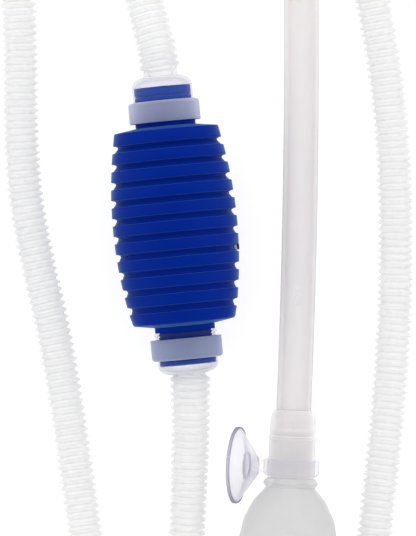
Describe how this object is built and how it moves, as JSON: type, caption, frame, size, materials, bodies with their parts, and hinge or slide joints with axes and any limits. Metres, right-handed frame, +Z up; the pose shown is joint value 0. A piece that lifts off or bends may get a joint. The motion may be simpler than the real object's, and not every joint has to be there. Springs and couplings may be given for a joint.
{
  "type": "gravel vacuum siphon",
  "caption": "Aquarium gravel cleaner laid flat: clear bell tube and wand with a suction-cup clip, ribbed blue squeeze bulb with check valves, and corrugated hose.",
  "frame": {"origin": "on the table, under the middle of the box of the rigid pieces (bulb, wand and gravel tube, without the hoses)", "axes": "+Y along the wand, from the gravel tube's mouth to the hose connector; +Z up from the table"},
  "size_m": [0.2252, 0.6838, 0.0622],
  "materials": {
    "blue_rubber": "satin soft vinyl",
    "blue_plastic": "moulded",
    "clear_plastic": "clear, polished",
    "soft_clamp": "milky translucent",
    "frosted_plastic": "frosted translucent",
    "hose_plastic": "translucent corrugated",
    "clear_vinyl": "clear with a violet tint",
    "silicone": "soft",
    "black_rubber": "matt"
  },
  "bodies": {
    "root": {"wand": "frosted_plastic", "hose_connector": "frosted_plastic", "intake_hose": "hose_plastic", "drain_hose": "hose_plastic", "outlet_cuff": "hose_plastic", "inlet_coupling": "clear_plastic", "outlet_coupling": "clear_plastic", "inlet_gasket": "black_rubber", "outlet_gasket": "black_rubber", "inlet_valve_body": "blue_plastic", "outlet_valve_body": "blue_plastic", "inlet_valve_guide": "blue_plastic", "outlet_valve_guide": "blue_plastic"},
    "bulb": {"squeeze_bulb": "blue_rubber", "bulb_plug": "black_rubber"},
    "inlet_disc": {"inlet_valve_disc": "silicone"},
    "outlet_disc": {"outlet_valve_disc": "silicone"},
    "inlet_ring": {"inlet_clamp_ring": "soft_clamp"},
    "outlet_ring": {"outlet_clamp_ring": "soft_clamp"},
    "gravel_head": {"gravel_tube": "frosted_plastic", "tube_adapter": "frosted_plastic", "strainer": "clear_plastic"},
    "clip": {"clip_ring": "clear_vinyl"},
    "cup": {"suction_cup": "clear_vinyl"}
  },
  "joints": [
    {"name": "bulb_squeeze", "type": "slide", "parent": "root", "child": "bulb", "axis": [-0.9955, -0.0946, 0], "range_m": [0, 0.0093], "stiffness_N_per_m": 1500, "deforming": ["squeeze_bulb"]},
    {"name": "inlet_disc_lift", "type": "slide", "parent": "root", "child": "inlet_disc", "axis": [-0.0946, 0.9955, 0], "range_m": [0, 0.0025]},
    {"name": "outlet_disc_lift", "type": "slide", "parent": "root", "child": "outlet_disc", "axis": [-0.0946, 0.9955, 0], "range_m": [0, 0.0025]},
    {"name": "inlet_ring_slide", "type": "slide", "parent": "root", "child": "inlet_ring", "axis": [-0.0946, 0.9955, 0], "range_m": [-0.0022, 0.0044]},
    {"name": "outlet_ring_slide", "type": "slide", "parent": "root", "child": "outlet_ring", "axis": [-0.0946, 0.9955, 0], "range_m": [-0.0015, 0.0069]},
    {"name": "head_pull", "type": "slide", "parent": "root", "child": "gravel_head", "axis": [-0.044, -0.999, 0], "range_m": [0, 0.02]},
    {"name": "clip_turn", "type": "hinge", "parent": "gravel_head", "child": "clip", "pos_m": [0.03303, -0.05745, 0.026], "axis": [0.044, 0.999, 0], "continuous": true},
    {"name": "cup_turn", "type": "hinge", "parent": "clip", "child": "cup", "pos_m": [0.03303, -0.05745, 0.026], "axis": [-0.965, 0.0425, -0.2588], "continuous": true}
  ]
}
